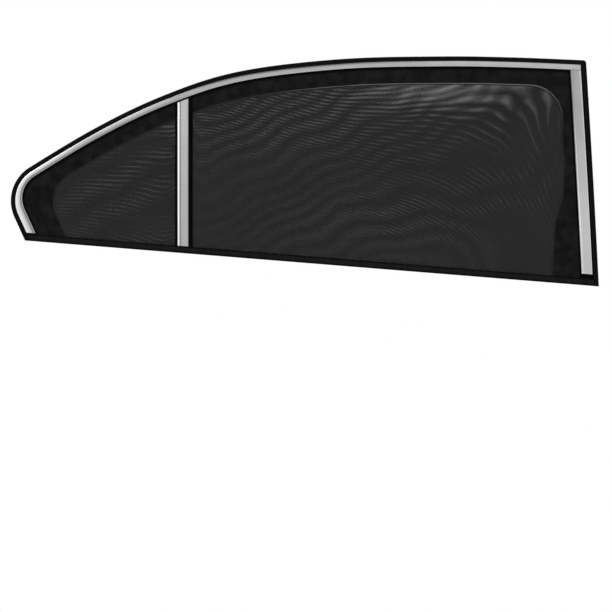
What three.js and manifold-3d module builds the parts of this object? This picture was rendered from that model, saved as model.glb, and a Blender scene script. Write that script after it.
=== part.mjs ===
// Car side window sunshade: a sewn sleeve of black net that is pulled on from above. Two net faces
// stand one sleeve depth apart, each set in a border of closed black cloth. A folded edging joins
// them round the rear, roof and front, and the rim along the foot is left open, with an elastic in
// each hem. Satin silver strips trim the outer face.
//
// Frame: millimetres, +X forward, -Y outward, +Z up. The origin is on the under face of the outer
// hem, halfway along the rim.
import * as THREE from "three";
import { mergeVertices } from "three/addons/utils/BufferGeometryUtils.js";
import Module from "manifold-3d";

const wasm = await Module();
wasm.setup();

// The outline seen square on: a sloping rim, a leaning rear and front edge, and a roofline that
// rises from the top of the rear edge to a crown and falls a little to the front. Its two parts
// are pairs of a share of the run to the crown and a share of the rise.
const rimRun = 1016.5;
const rimSlope = THREE.MathUtils.degToRad(4.57);
const rearLean = THREE.MathUtils.degToRad(24.3);
const rearEdgeLength = 106;
const frontLean = THREE.MathUtils.degToRad(3.26);
const noseRadius = 69;
const frontRadius = 6;
const roofHeight = 366.8;
const roofFrontDrop = 7;
const roofCrownX = 227;
const rearRoofShape = [
  [0, 0],
  [0.203, 0.42],
  [0.372, 0.698],
  [0.543, 0.883],
  [0.773, 0.979],
];
const frontRoofShape = [
  [0, 0],
  [0.5, 0.75],
];

// The barrel curve of both faces, about an axis along X, and the depth of the sleeve
const barrelRadius = 2200;
const barrelMiddleZ = 163;
const barrelFacets = 14;
const sleeveDepth = 30;

// Cloth, measured inward from the outer face of the outer border
const clothThickness = 1;
const netThickness = 0.5;
const netLap = 10;
const seam = 0.3;

// The clear windows in each border
const windowRoofInset = 49;
const windowRearInset = 70;
const windowFrontInset = 74;
const windowFrontLean = THREE.MathUtils.degToRad(-2.6);
const windowNoseRadius = 55;
const windowFrontRadius = 58;

// The folded edging round the rear, roof and front
const edgingWidth = 8.5;
const edgingRadius = 6;
const edgingThickness = 1;

// The hems along the rim, folded round the cloth and a flat elastic
const hemHeight = 12;
const hemThickness = 0.6;
const elasticHeight = 8;
const elasticThickness = 1.4;

// Silver strips and the black tapes under them
const tapeThickness = 0.6;
const tapeMargin = 3;
const stripThickness = 1.2;
const roofStripWidth = 9.5;
const rearStripWidth = 14;
const roofStripStep = 2.2;
const roofStripStepDrop = 0.5;
const roofStripEnd = 10.5;
const frontStripInset = 11;
const frontStripWidth = 19;
const frontStripFoot = 20;
const frontStripGap = 0.6;
const frontStripLip = 1.6;
const dividerX = -228.2;
const dividerWidth = 20;
const dividerRearMargin = 3.7;
const dividerFrontMargin = 7;
const dividerBead = 3.2;
const dividerGroove = 1.2;
const beadHeight = 0.5;

// How finely each stretch of an outline is drawn
const rearSteps = 3;
const noseSteps = 10;
const roofSteps = 18;
const roofSamples = 100;
const cornerSteps = 5;
const frontSteps = 11;
const bendSteps = 3;

// Far enough out to clear the shade's edges
const beyond = 2 * sleeveDepth;

// Depths, which grow inward, of what lies in the sleeve
const outerNetDepth = clothThickness + seam;
const innerClothDepth = sleeveDepth - clothThickness;
const innerNetDepth = innerClothDepth - seam - netThickness;
const elasticDepth = outerNetDepth + netThickness + seam;
const hemOuterSkin = -seam - hemThickness;
const hemInnerSkin = elasticDepth + elasticThickness + seam + hemThickness;
const tapeDepth = -seam - tapeThickness;
const stripDepth = tapeDepth - seam - stripThickness;

// A straight side of the outline: a point on it, its direction and the way to the shade's inside
function side(point, direction, inward) {
  return { point, direction, inward };
}

function moved(line, inset) {
  return { ...line, point: line.point.clone().addScaledVector(line.inward, inset) };
}

function distanceTo(line, p) {
  return p.clone().sub(line.point).dot(line.inward);
}

function crossing(a, b) {
  const approach = b.direction.dot(a.inward);
  const along = -distanceTo(a, b.point) / approach;
  return b.point.clone().addScaledVector(b.direction, along);
}

const slope = new THREE.Vector2(Math.cos(rimSlope), -Math.sin(rimSlope));
const rimSide = side(
  new THREE.Vector2(0, 0),
  slope,
  new THREE.Vector2(-slope.y, slope.x),
);

// A side that rises from the rim, leaning towards -X by an angle from upright
function risingSide(rimX, lean, inwardSign) {
  const up = new THREE.Vector2(-Math.sin(lean), Math.cos(lean));
  const foot = new THREE.Vector2(rimX, -rimX * Math.tan(rimSlope));
  return side(foot, up, new THREE.Vector2(up.y, -up.x).multiplyScalar(inwardSign));
}

const rearSide = risingSide(-rimRun / 2, rearLean, 1);
const frontSide = risingSide(rimRun / 2, frontLean, -1);

// Points of the roofline from one of its ends towards the crown
const crown = new THREE.Vector2(roofCrownX, roofHeight);
function roofFrom(end, shape) {
  return shape.map(([run, rise]) => {
    const x = THREE.MathUtils.lerp(end.x, crown.x, run);
    return new THREE.Vector2(x, THREE.MathUtils.lerp(end.y, crown.y, rise));
  });
}

// A point further out along the line from one point to another
function past(from, to, distance) {
  return to.clone().addScaledVector(to.clone().sub(from).normalize(), distance);
}

const rearTop = rearSide.point.clone().addScaledVector(rearSide.direction, rearEdgeLength);
const frontTopZ = roofHeight - roofFrontDrop;
const frontTop = frontSide.point
  .clone()
  .addScaledVector(frontSide.direction, (frontTopZ - frontSide.point.y) / Math.cos(frontLean));
const roofKnots = [
  ...roofFrom(rearTop, rearRoofShape),
  crown,
  ...roofFrom(frontTop, frontRoofShape).reverse(),
];
const roofSpan = new THREE.SplineCurve(roofKnots).getSpacedPoints(roofSamples);
const roofRun = [
  past(roofSpan[1], roofSpan[0], beyond),
  ...roofSpan,
  past(roofSpan[roofSamples - 1], roofSpan[roofSamples], beyond),
];

// The roofline moved inward, as points from the rear to the front
function roofPoints(inset) {
  return roofRun.map((p, i) => {
    const ahead = roofRun[Math.min(i + 1, roofRun.length - 1)];
    const behind = roofRun[Math.max(i - 1, 0)];
    const along = ahead.clone().sub(behind).normalize();
    return p.clone().addScaledVector(new THREE.Vector2(along.y, -along.x), inset);
  });
}

// The part of a run of points that lies on the inner side of a line, cut off exactly at the line
function clipped(points, line) {
  const kept = [];
  points.forEach((p, i) => {
    const here = distanceTo(line, p);
    if (i > 0) {
      const before = distanceTo(line, points[i - 1]);
      if (before < 0 !== here < 0) {
        kept.push(points[i - 1].clone().lerp(p, before / (before - here)));
      }
    }
    if (here >= 0) kept.push(p);
  });
  return kept;
}

// Evenly spaced points along a run of points
function respaced(points, steps) {
  const path = new THREE.CurvePath();
  points.slice(1).forEach((p, i) => path.add(new THREE.LineCurve(points[i], p)));
  return path.getSpacedPoints(steps);
}

// What is left of a run of points further than a distance from its first point
function trimmed(points, distance) {
  const start = points[0];
  const next = points.findIndex((p) => p.distanceTo(start) > distance);
  const share =
    (distance - points[next - 1].distanceTo(start)) /
    (points[next].distanceTo(start) - points[next - 1].distanceTo(start));
  return [points[next - 1].clone().lerp(points[next], share), ...points.slice(next)];
}

// Rounds the corner where one run of points ends and the next begins
function rounded(before, after, radius, steps) {
  const corner = after[0];
  const back = [...before].reverse();
  const turn = back[1].clone().sub(corner).angleTo(after[1].clone().sub(corner));
  const reach = radius / Math.tan(turn / 2);
  const from = trimmed(back, reach);
  const to = trimmed(after, reach);
  const handle = (4 / 3) * Math.tan((Math.PI - turn) / 4) * Math.tan(turn / 2);
  const bend = new THREE.CubicBezierCurve(
    from[0],
    from[0].clone().lerp(corner, handle),
    to[0].clone().lerp(corner, handle),
    to[0],
  );
  return { before: from.reverse(), bend: bend.getPoints(steps).slice(1, -1), after: to };
}

// An outline like the shade's own, with each side moved inward by its own inset. The points run
// from the rim up the rear, round the nose, along the roof and down the front to the rim.
function outline({
  rim = 0,
  rear = 0,
  roof = 0,
  front = 0,
  nose = noseRadius,
  corner = 0.5,
  lean = frontLean,
}) {
  const rimLine = moved(rimSide, rim);
  const rearLine = moved(rearSide, rear);
  const frontAtRim = crossing(rimSide, moved(frontSide, front));
  const frontLine = risingSide(frontAtRim.x, lean, -1);
  const topRun = clipped(clipped(roofPoints(roof), rearLine), frontLine);
  const rearRun = [crossing(rimLine, rearLine), topRun[0]];
  const frontRun = [topRun[topRun.length - 1], crossing(rimLine, frontLine)];
  const noseBend = rounded(rearRun, topRun, nose, noseSteps);
  const cornerBend = rounded(noseBend.after, frontRun, corner, cornerSteps);
  return [
    ...respaced(noseBend.before, rearSteps),
    ...noseBend.bend,
    ...respaced(cornerBend.before, roofSteps),
    ...cornerBend.bend,
    ...respaced(cornerBend.after, frontSteps),
  ];
}

// How far a point of the barrel at a height and depth lies inward of the origin
const axisZ = barrelMiddleZ;
const rimDepth = (hemOuterSkin + hemInnerSkin) / 2;
const axisY = Math.sqrt((barrelRadius - rimDepth) ** 2 - axisZ ** 2);

function barrelY(z, depth) {
  return axisY - Math.sqrt((barrelRadius - depth) ** 2 - (z - axisZ) ** 2);
}

function toSolid(geometry) {
  geometry.deleteAttribute("normal");
  geometry.deleteAttribute("uv");
  const merged = mergeVertices(geometry, 1e-4);
  return new wasm.Manifold(
    new wasm.Mesh({
      numProp: 3,
      vertProperties: merged.attributes.position.array,
      triVerts: new Uint32Array(merged.index.array),
    }),
  );
}

function toGeometry(solid) {
  const { vertProperties, triVerts } = solid.getMesh();
  const geometry = new THREE.BufferGeometry();
  geometry.setAttribute("position", new THREE.BufferAttribute(vertProperties, 3));
  geometry.setIndex(new THREE.BufferAttribute(triVerts, 1));
  return geometry;
}

// Everything inside an outline, through the whole depth of the shade
function inside(points) {
  const depth = sleeveDepth + 4 * beyond;
  const geometry = new THREE.ExtrudeGeometry(new THREE.Shape(points), {
    depth,
    bevelEnabled: false,
  });
  return toSolid(geometry.rotateX(Math.PI / 2).translate(0, depth - 2 * beyond, 0));
}

// Everything on the inner side of a line
function within(line) {
  const [near, far] = [-rimRun, rimRun].map((along) =>
    line.point.clone().addScaledVector(line.direction, along),
  );
  const away = [far, near].map((p) => p.clone().addScaledVector(line.inward, 2 * rimRun));
  return inside([near, far, ...away]);
}

// Everything between two X positions
function between(x0, x1) {
  const upright = new THREE.Vector2(0, 1);
  const [from, to] = [x0, x1].map((x) =>
    side(new THREE.Vector2(x, 0), upright, new THREE.Vector2(1, 0)),
  );
  return within(from).subtract(within(to));
}

// A curved sheet between two depths, wider and taller than the shade
function sheet(from, to) {
  const halfTurn = Math.asin((roofHeight + beyond - axisZ) / barrelRadius);
  const [low, high] = [Math.PI + halfTurn, Math.PI - halfTurn];
  const section = new THREE.Shape();
  section.absarc(axisY, axisZ, barrelRadius - from, high, low, false);
  section.absarc(axisY, axisZ, barrelRadius - to, low, high, true);
  const width = rimRun + 4 * beyond;
  const geometry = new THREE.ExtrudeGeometry(section, {
    depth: width,
    curveSegments: barrelFacets / 2,
    bevelEnabled: false,
  });
  const basis = new THREE.Matrix4().makeBasis(
    new THREE.Vector3(0, 1, 0),
    new THREE.Vector3(0, 0, 1),
    new THREE.Vector3(1, 0, 0),
  );
  return toSolid(geometry.applyMatrix4(basis).translate(-width / 2, 0, 0));
}

// A piece with a constant section, carried round the outline. The section's points are pairs of
// inset and depth.
function swept(section) {
  const runs = section.map(([inset]) => {
    const nose = noseRadius - inset;
    const corner = Math.max(frontRadius - inset, 0.5);
    return outline({ rear: inset, roof: inset, front: inset, nose, corner });
  });
  const stations = runs[0].length;
  const positions = [];
  runs.forEach((run, j) => {
    run.forEach((p) => positions.push(p.x, barrelY(p.y, section[j][1]), p.y));
  });
  const index = [];
  const at = (j, k) => (j % section.length) * stations + k;
  for (let j = 0; j < section.length; j += 1) {
    for (let k = 0; k < stations - 1; k += 1) {
      index.push(at(j, k), at(j + 1, k), at(j + 1, k + 1));
      index.push(at(j, k), at(j + 1, k + 1), at(j, k + 1));
    }
  }
  const contour = section.map(([inset, depth]) => new THREE.Vector2(inset, depth));
  THREE.ShapeUtils.triangulateShape(contour, []).forEach(([a, b, c]) => {
    index.push(at(a, 0), at(c, 0), at(b, 0));
    index.push(at(a, stations - 1), at(b, stations - 1), at(c, stations - 1));
  });
  const geometry = new THREE.BufferGeometry();
  geometry.setAttribute("position", new THREE.Float32BufferAttribute(positions, 3));
  return geometry.setIndex(index);
}

// The folded edging: a channel with rounded bends that laps over both faces
function edging() {
  const reach = edgingThickness + seam;
  const bend = (radius, depth, from, to) => {
    const points = [];
    for (let i = 0; i <= bendSteps; i += 1) {
      const angle = THREE.MathUtils.degToRad(from + ((to - from) * i) / bendSteps);
      points.push([
        edgingRadius - radius * Math.cos(angle),
        depth - radius * Math.sin(angle),
      ]);
    }
    return points;
  };
  const outerBend = edgingRadius - reach;
  const innerBend = sleeveDepth + reach - edgingRadius;
  const core = edgingRadius - edgingThickness;
  return swept([
    [edgingWidth, -reach],
    [edgingWidth, -seam],
    ...bend(core, outerBend, 90, 0),
    ...bend(core, innerBend, 0, -90),
    [edgingWidth, sleeveDepth + seam],
    [edgingWidth, sleeveDepth + reach],
    ...bend(edgingRadius, innerBend, -90, 0),
    ...bend(edgingRadius, outerBend, 0, 90),
  ]);
}

// The two clear windows of a border, and the same grown by the net's lap under the border
function windows(grow = 0) {
  return inside(
    outline({
      rim: -beyond,
      rear: windowRearInset - grow,
      roof: windowRoofInset - grow,
      front: windowFrontInset - grow,
      nose: windowNoseRadius + grow,
      corner: windowFrontRadius + grow,
      lean: windowFrontLean,
    }),
  );
}

// The cloth starts inside the edging's bend and ends just above the fold of the hem
const clothEdge = inside(
  outline({
    rim: hemThickness + seam,
    rear: edgingRadius,
    roof: edgingRadius,
    front: edgingRadius,
    nose: noseRadius - edgingRadius,
  }),
);
const dividerRear = dividerX - dividerWidth / 2;
const dividerFront = dividerX + dividerWidth / 2;
const dividerBar = between(dividerRear - dividerRearMargin, dividerFront + dividerFrontMargin);

// Closed cloth with a clear window each side of the divider
function border(depth) {
  const clear = windows().subtract(dividerBar);
  return sheet(depth, depth + clothThickness).intersect(clothEdge).subtract(clear);
}

function net(depth) {
  const cut = windows(netLap).intersect(clothEdge);
  return sheet(depth, depth + netThickness).intersect(cut);
}

// A band along the rim, clear of the edging, between two heights above the rim
function rimBand(low, high) {
  const inset = edgingWidth + seam;
  const nose = noseRadius - inset;
  const whole = inside(outline({ rim: low, rear: inset, roof: inset, front: inset, nose }));
  return whole.subtract(within(moved(rimSide, high)));
}

// A hem folded up round the rim, from the depth of its outer leaf to that of its inner leaf
function hem(from, to) {
  const folded = sheet(from, to).intersect(rimBand(0, hemHeight));
  const hollow = sheet(from + hemThickness, to - hemThickness);
  return folded.subtract(hollow.intersect(within(moved(rimSide, hemThickness))));
}

function elastic(depth) {
  const low = hemThickness + seam;
  const band = rimBand(low, low + elasticHeight);
  return sheet(depth, depth + elasticThickness).intersect(band);
}

// A strip along the rear and roof, from one inset to another on each
function roofBand(from, rearTo, roofTo, frontEnd) {
  const whole = outline({
    rim: hemHeight + seam,
    rear: from,
    roof: from,
    front: frontEnd,
    nose: noseRadius - from,
  });
  const below = outline({
    rim: 0,
    rear: rearTo,
    roof: roofTo,
    nose: noseRadius - rearTo,
  });
  return inside(whole).subtract(inside(below));
}

const roofStripFrom = edgingWidth + seam;
const rearStripTo = roofStripFrom + rearStripWidth;
const roofStripTo = roofStripFrom + roofStripWidth;

function roofTape() {
  const [rearTo, roofTo] = [rearStripTo + tapeMargin, roofStripTo + tapeMargin];
  return sheet(tapeDepth, -seam).intersect(
    roofBand(roofStripFrom, rearTo, roofTo, roofStripFrom),
  );
}

// The silver strip round the rear and roof, with a lower step along its inner edge
function roofStrip() {
  const top = stripDepth + stripThickness;
  const lower = sheet(stripDepth + roofStripStepDrop, top).intersect(
    roofBand(roofStripFrom, rearStripTo, roofStripTo, roofStripEnd),
  );
  const upper = sheet(stripDepth, top).intersect(
    roofBand(
      roofStripFrom,
      rearStripTo - roofStripStep,
      roofStripTo - roofStripStep,
      roofStripEnd,
    ),
  );
  return lower.add(upper);
}

// An upright band beside the front edge, under the roof strip and over the hem
function frontBand(from, to, foot, head) {
  const nose = noseRadius - head;
  const whole = inside(outline({ rim: foot, rear: head, roof: head, front: from, nose }));
  return whole.subtract(within(moved(frontSide, to)));
}

function frontTape() {
  const head = roofStripTo + tapeMargin + seam;
  const to = frontStripInset + frontStripWidth + tapeMargin;
  return sheet(tapeDepth, -seam).intersect(
    frontBand(roofStripFrom, to, hemHeight + seam, head),
  );
}

// The silver strip beside the front edge, with a raised lip on its sides and foot
function frontStrip() {
  const head = roofStripTo + frontStripGap;
  const to = frontStripInset + frontStripWidth;
  const base = stripDepth + stripThickness;
  const whole = frontBand(frontStripInset, to, frontStripFoot, head);
  const field = frontBand(
    frontStripInset + frontStripLip,
    to - frontStripLip,
    frontStripFoot + frontStripLip,
    head - frontStripGap,
  );
  const lip = sheet(stripDepth - beadHeight, base).intersect(whole.subtract(field));
  return sheet(stripDepth, base).intersect(whole).add(lip);
}

function dividerTape() {
  const head = roofStripTo + tapeMargin + seam;
  const span = inside(outline({ rim: hemHeight + seam, roof: head, nose: noseRadius }));
  return sheet(tapeDepth, -seam).intersect(span).intersect(dividerBar);
}

// The silver strip between the two windows: a bead, a groove and a flat face
function dividerStrip() {
  const head = roofStripTo + tapeMargin + seam;
  const base = stripDepth + stripThickness;
  const span = inside(outline({ rim: hemHeight + seam, roof: head, nose: noseRadius }));
  const grooveX = dividerRear + dividerBead;
  const bead = sheet(stripDepth - beadHeight, base).intersect(between(dividerRear, grooveX));
  const groove = sheet(stripDepth - beadHeight, base - stripThickness / 2).intersect(
    between(grooveX, grooveX + dividerGroove),
  );
  const face = sheet(stripDepth, base).intersect(between(dividerRear, dividerFront));
  return face.add(bead).subtract(groove).intersect(span);
}

function material(color, roughness, metalness = 0, opacity = 1) {
  return new THREE.MeshStandardMaterial({
    color,
    roughness,
    metalness,
    opacity,
    transparent: opacity < 1,
    side: THREE.DoubleSide,
  });
}

const netBlack = material(0x1c1c1d, 0.8, 0, 0.85);
const clothBlack = material(0x141415, 0.85);
const edgingBlack = material(0x0b0b0c, 0.6);
const elasticBlack = material(0x202022, 0.9);
const tapeBlack = material(0x070708, 0.5);
const stripSilver = material(0xb4b4b6, 0.35, 0.8);

const shade = new THREE.Group();

function addPiece(name, geometry, look) {
  geometry.computeVertexNormals();
  const mesh = new THREE.Mesh(geometry, look);
  mesh.name = name;
  shade.add(mesh);
}

addPiece("edging", edging(), edgingBlack);

addPiece("outer_border", toGeometry(border(0)), clothBlack);
addPiece("outer_net", toGeometry(net(outerNetDepth)), netBlack);
addPiece("outer_hem", toGeometry(hem(hemOuterSkin, hemInnerSkin)), edgingBlack);
addPiece("outer_elastic", toGeometry(elastic(elasticDepth)), elasticBlack);

addPiece("inner_border", toGeometry(border(innerClothDepth)), clothBlack);
addPiece("inner_net", toGeometry(net(innerNetDepth)), netBlack);
addPiece(
  "inner_hem",
  toGeometry(hem(sleeveDepth - hemInnerSkin, sleeveDepth - hemOuterSkin)),
  edgingBlack,
);
addPiece(
  "inner_elastic",
  toGeometry(elastic(sleeveDepth - elasticDepth - elasticThickness)),
  elasticBlack,
);

addPiece("roof_strip_tape", toGeometry(roofTape()), tapeBlack);
addPiece("roof_strip", toGeometry(roofStrip()), stripSilver);
addPiece("front_strip_tape", toGeometry(frontTape()), tapeBlack);
addPiece("front_strip", toGeometry(frontStrip()), stripSilver);
addPiece("divider_tape", toGeometry(dividerTape()), tapeBlack);
addPiece("divider_strip", toGeometry(dividerStrip()), stripSilver);

export default shade;
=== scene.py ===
"""A car side window sunshade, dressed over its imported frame: nets made of threads, close cloth
borders, a bound edge, gathered elastic hems, rows of stitches and ribbed silver strips.

Lengths are in millimetres until a mesh is made. Outlines are drawn in X and Z, and depth grows
inward, towards +Y, from the outer face of the outer border.
"""

import math

import bmesh
import bpy
import numpy as np
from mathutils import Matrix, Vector, geometry

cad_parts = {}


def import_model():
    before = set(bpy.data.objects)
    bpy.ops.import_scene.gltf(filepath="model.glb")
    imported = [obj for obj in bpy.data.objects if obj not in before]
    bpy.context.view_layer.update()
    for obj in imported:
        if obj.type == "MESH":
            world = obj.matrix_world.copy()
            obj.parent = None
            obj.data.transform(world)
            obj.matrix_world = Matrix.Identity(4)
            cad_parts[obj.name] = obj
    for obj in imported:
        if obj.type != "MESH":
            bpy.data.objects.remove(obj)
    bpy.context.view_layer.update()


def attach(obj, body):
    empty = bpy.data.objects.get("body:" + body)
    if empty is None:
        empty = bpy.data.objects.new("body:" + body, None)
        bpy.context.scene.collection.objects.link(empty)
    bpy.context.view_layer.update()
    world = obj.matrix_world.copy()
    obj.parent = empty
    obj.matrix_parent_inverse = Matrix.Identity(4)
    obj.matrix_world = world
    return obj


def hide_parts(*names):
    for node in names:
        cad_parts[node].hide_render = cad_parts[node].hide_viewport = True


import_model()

MM = 0.001

# The outline
RIM_RUN = 1016.5
RIM_SLOPE = math.radians(4.57)
REAR_LEAN = math.radians(24.3)
REAR_EDGE = 106
FRONT_LEAN = math.radians(3.26)
NOSE_RADIUS = 69
FRONT_RADIUS = 6
LEAST_RADIUS = 0.5
ROOF_HEIGHT = 366.8
ROOF_FRONT_DROP = 7
ROOF_CROWN_X = 227
REAR_ROOF = [(0, 0), (0.203, 0.42), (0.372, 0.698), (0.543, 0.883), (0.773, 0.979)]
FRONT_ROOF = [(0, 0), (0.5, 0.75)]

# How far the roofline is carried on past both ends, so that its insets still reach the sides
BEYOND = 60

# The barrel and the layers
BARREL_RADIUS = 2200
BARREL_MIDDLE_Z = 163
SLEEVE_DEPTH = 30
CLOTH = 1
SEAM = 0.3
NET = 0.5
NET_LAP = 8
OUTER_NET = CLOTH + SEAM
INNER_NET = SLEEVE_DEPTH - CLOTH - SEAM - NET

# The windows
WINDOW = {"rear": 70, "roof": 49, "front": 74, "nose": 55, "corner": 58}
WINDOW_LEAN = math.radians(-2.6)

# The bow in the front side of the windows: how far it is drawn in at its foot, the changes up to
# its head, each with a height above the rim and a reach, and where along X the bow sets in
BOW_AT_FOOT = 10.3
BOW_CHANGES = [(12.5, 130, 20), (-7, 235, 25)]
BOW_FROM_X = 330
BOW_SETS_IN = 60

# The edging, hems, elastics, tapes and strips
EDGING_WIDTH = 8.5
EDGING_RADIUS = 6
EDGING_THICKNESS = 1
HEM_HEIGHT = 12
HEM_THICKNESS = 0.6
HEM_FOLD = 1.4
HEM_ROWS = (2.2, 5.3, 8.4, 11.3)
CHANNEL_DEPTH = 0.15
CHANNEL_PITCH = 3.1
CHANNEL_FOOT = 0.6
GATHER_DEPTH = 0.12
ELASTIC_HEIGHT = 8
ELASTIC_THICKNESS = 1.4
ELASTIC_RIBS = 8
ELASTIC_RIB_DEPTH = 0.12
TAPE_THICKNESS = 0.6
TAPE_MARGIN = 3
STRIP_THICKNESS = 1.2
BEAD = 0.5
STRIP_FROM = EDGING_WIDTH + SEAM
ROOF_STRIP_WIDTH = 9.5
REAR_STRIP_WIDTH = 14
ROOF_STRIP_STEP = 2.2
ROOF_STRIP_END = 10.5
ROOF_STRIP_RAISED = 1.6
STRIP_HEAD = STRIP_FROM + ROOF_STRIP_WIDTH + TAPE_MARGIN + SEAM
STRIP_FOOT = HEM_HEIGHT + SEAM
FRONT_STRIP_INSET = 11
FRONT_STRIP_WIDTH = 19
FRONT_STRIP_FOOT = 20
FRONT_STRIP_GAP = 0.6
FRONT_STRIP_LIP = 1.6
DIVIDER_REAR = -238.2
DIVIDER_FRONT = -218.2
DIVIDER_REAR_MARGIN = 3.7
DIVIDER_FRONT_MARGIN = 7
DIVIDER_BEAD = 3.2
DIVIDER_GROOVE = 1.2

# The height where the borders start, and the depths of the layers
CLOTH_FOOT = HEM_THICKNESS + SEAM
ELASTIC = OUTER_NET + NET + SEAM
HEM_OUTER = -SEAM - HEM_THICKNESS
HEM_INNER = ELASTIC + ELASTIC_THICKNESS + SEAM + HEM_THICKNESS
TAPE = -SEAM - TAPE_THICKNESS
STRIP_BASE = TAPE - SEAM
STRIP_TOP = STRIP_BASE - STRIP_THICKNESS

# Points along each stretch of an outline, and along the other runs
REAR_POINTS = 24
NOSE_POINTS = 44
ROOF_POINTS = 300
CORNER_POINTS = 14
FRONT_POINTS = 110
TO_ROOF_END = REAR_POINTS + NOSE_POINTS + ROOF_POINTS
SPLINE_POINTS = 60
ROOFLINE_POINTS = 500
WINDOW_SIDE_POINTS = 60
HEM_POINTS = 420
ELASTIC_POINTS = 300
RISING_POINTS = 150


def rising_side(x, lean, inward):
    """A side that rises from the rim at x: a point on it, its direction and the way inward."""
    up = np.array([-math.sin(lean), math.cos(lean)])
    foot = np.array([x, -x * math.tan(RIM_SLOPE)])
    return foot, up, inward * np.array([up[1], -up[0]])


def moved(line, inset):
    """A line moved inward."""
    point, way, inward = line
    return point + inset * inward, way, inward


def distance(line, p):
    """How far points are on the inner side of a line."""
    point, _, inward = line
    return (p - point) @ inward


def crossing(a, b):
    """Where line b meets line a."""
    point, way, _ = b
    return point - way * distance(a, point) / (way @ a[2])


SLOPE = np.array([math.cos(RIM_SLOPE), -math.sin(RIM_SLOPE)])
RIM_SIDE = (np.zeros(2), SLOPE, np.array([-SLOPE[1], SLOPE[0]]))
REAR_SIDE = rising_side(-RIM_RUN / 2, REAR_LEAN, 1)
FRONT_SIDE = rising_side(RIM_RUN / 2, FRONT_LEAN, -1)


def spline(knots, samples):
    """A smooth curve through the knots."""
    k = np.array([knots[0], *knots, knots[-1]])
    t = np.linspace(0, 1, samples, endpoint=False)[:, None]
    spans = []
    for a, b, c, d in zip(k, k[1:], k[2:], k[3:]):
        out, back = (c - a) / 2, (d - b) / 2
        cubic = 2 * b - 2 * c + out + back
        square = 3 * c - 3 * b - 2 * out - back
        spans.append(cubic * t**3 + square * t**2 + out * t + b)
    return np.vstack([*spans, k[-1:]])


def respaced(points, count):
    """Evenly spaced points along a run of points."""
    lengths = np.r_[0, np.cumsum(np.linalg.norm(np.diff(points, axis=0), axis=1))]
    at = np.linspace(0, lengths[-1], count)
    return np.stack([np.interp(at, lengths, points[:, i]) for i in range(2)], axis=1)


def roof_line():
    """The roofline from rear to front, carried straight on past both ends."""
    crown = np.array([ROOF_CROWN_X, ROOF_HEIGHT])
    rear_top = REAR_SIDE[0] + REAR_EDGE * REAR_SIDE[1]
    rise = (ROOF_HEIGHT - ROOF_FRONT_DROP - FRONT_SIDE[0][1]) / math.cos(FRONT_LEAN)
    front_top = FRONT_SIDE[0] + rise * FRONT_SIDE[1]
    rear = [rear_top + (crown - rear_top) * share for share in np.array(REAR_ROOF)]
    front = [front_top + (crown - front_top) * share for share in np.array(FRONT_ROOF)]
    line = respaced(spline([*rear, crown, *front[::-1]], SPLINE_POINTS), ROOFLINE_POINTS)
    ends = []
    for p, q in ((line[1], line[0]), (line[-2], line[-1])):
        ends.append(q + BEYOND * (q - p) / np.linalg.norm(q - p))
    return np.vstack([ends[0], line, ends[1]])


ROOF = roof_line()
AHEAD = np.vstack([ROOF[1:], ROOF[-1:]]) - np.vstack([ROOF[:1], ROOF[:-1]])
ROOF_INWARD = np.stack([AHEAD[:, 1], -AHEAD[:, 0]], axis=1)
ROOF_INWARD /= np.linalg.norm(ROOF_INWARD, axis=1)[:, None]


def clipped(points, line):
    """The part of a run on the inner side of a line, cut off exactly at the line."""
    off = distance(line, points)
    kept = []
    for i, p in enumerate(points):
        if i and (off[i - 1] < 0) != (off[i] < 0):
            share = off[i - 1] / (off[i - 1] - off[i])
            kept.append(points[i - 1] + share * (p - points[i - 1]))
        if off[i] >= 0:
            kept.append(p)
    return np.array(kept)


def under_roof(line, inset):
    """Where a rising line meets the roofline moved inward."""
    run = ROOF + inset * ROOF_INWARD
    off = distance(line, run)
    i = int(np.argmax((off[:-1] < 0) != (off[1:] < 0)))
    return run[i] + off[i] / (off[i] - off[i + 1]) * (run[i + 1] - run[i])


def trimmed(points, reach):
    """What is left of a run further than a reach from its first point."""
    far = np.linalg.norm(points - points[0], axis=1)
    i = int(np.argmax(far > reach))
    share = (reach - far[i - 1]) / (far[i] - far[i - 1])
    return np.vstack([points[i - 1] + share * (points[i] - points[i - 1]), points[i:]])


def rounded(before, after, radius, count):
    """Rounds the corner where one run ends and the next begins, with a bend between them."""
    corner = after[0]
    a, b = before[-2] - corner, after[1] - corner
    turn = math.acos(a @ b / np.linalg.norm(a) / np.linalg.norm(b))
    reach = radius / math.tan(turn / 2)
    start, end = trimmed(before[::-1], reach), trimmed(after, reach)
    handle = 4 / 3 * math.tan((math.pi - turn) / 4) * math.tan(turn / 2)
    p, q = start[0], end[0]
    u, v = p + handle * (corner - p), q + handle * (corner - q)
    t = np.linspace(0, 1, count + 2)[1:-1, None]
    bend = (1 - t) ** 3 * p + 3 * (1 - t) ** 2 * t * u + 3 * (1 - t) * t**2 * v + t**3 * q
    return start[::-1], bend, end


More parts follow.
